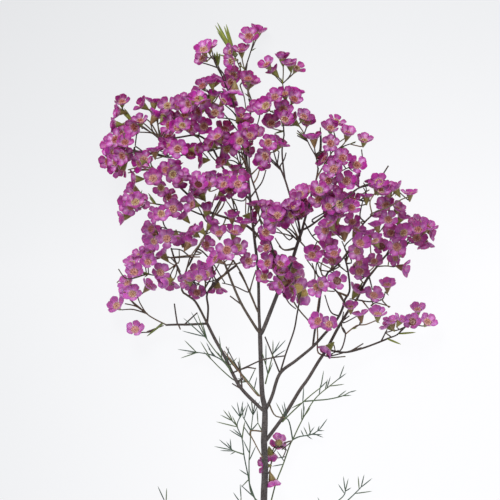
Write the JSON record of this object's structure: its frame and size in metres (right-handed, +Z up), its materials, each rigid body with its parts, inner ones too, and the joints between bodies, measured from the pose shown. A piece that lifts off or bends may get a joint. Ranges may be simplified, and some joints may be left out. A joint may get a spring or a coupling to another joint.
{
  "type": "waxflower stem",
  "caption": "Cut stem of waxflower lying flat: a forked woody stem with needle leaves and many small five-petalled magenta flowers in loose clusters.",
  "frame": {"origin": "on the table under the middle of the stem's bounding box", "axes": "+Z up from the table the stem lies on; +Y along the stem from the cut end to the tip; +X to the right seen from above"},
  "size_m": [0.2734, 0.5048, 0.0935],
  "materials": {
    "bark": "rough grey-brown bark of young twigs",
    "petals": "soft waxy magenta petals round small peach and red-brown discs",
    "leaves": "matt grey-green needle leaves"
  },
  "bodies": {
    "root": {"woody_stem": "bark", "spray_beside_stem": "petals", "spray_right_foot": "petals", "spray_left_foot": "petals", "spray_right_hanging": "petals", "spray_curved_twig": "petals", "spray_low_single": "petals", "spray_tip": "petals", "spray_right_x5": "petals", "spray_right_x4": "petals", "spray_right_tip": "petals", "spray_left_m": "petals", "spray_left_p": "petals", "spray_left_q": "petals", "spray_left_u": "petals", "spray_left_o": "petals", "spray_left_o2": "petals", "spray_upper_left": "petals", "spray_left_l": "petals", "spray_left_n": "petals", "spray_left_n2": "petals", "spray_upper_r1": "petals", "spray_upper_r2": "petals", "spray_right_x2": "petals", "spray_right_z1": "petals", "spray_right_z3": "petals", "spray_middle_v2": "petals", "spray_middle_t5": "petals", "spray_middle_t1": "petals", "spray_right_x3": "petals", "spray_right_h3": "petals", "spray_left_s1": "petals", "spray_middle_v1": "petals", "spray_middle_t3": "petals", "spray_middle_t2": "petals", "spray_middle_s2": "petals", "spray_axis_r3": "petals", "spray_upper_k": "petals", "spray_tip_left": "petals", "spray_right_w1": "petals", "spray_right_w4": "petals", "spray_right_z2": "petals", "spray_right_w2": "petals", "spray_right_w3": "petals", "spray_right_h1": "petals", "spray_right_h2": "petals", "spray_upper_r4": "petals", "spray_tip_right": "petals", "spray_right_f": "petals", "spray_right_g1": "petals", "spray_right_g2": "petals", "shoot_left_a": "leaves", "shoot_left_b": "leaves", "shoot_left_far": "leaves", "shoot_left_limb": "leaves", "shoot_left_inner": "leaves", "shoot_stem_right": "leaves", "shoot_right_a": "leaves", "shoot_right_b": "leaves", "shoot_below": "leaves"}
  },
  "joints": []
}
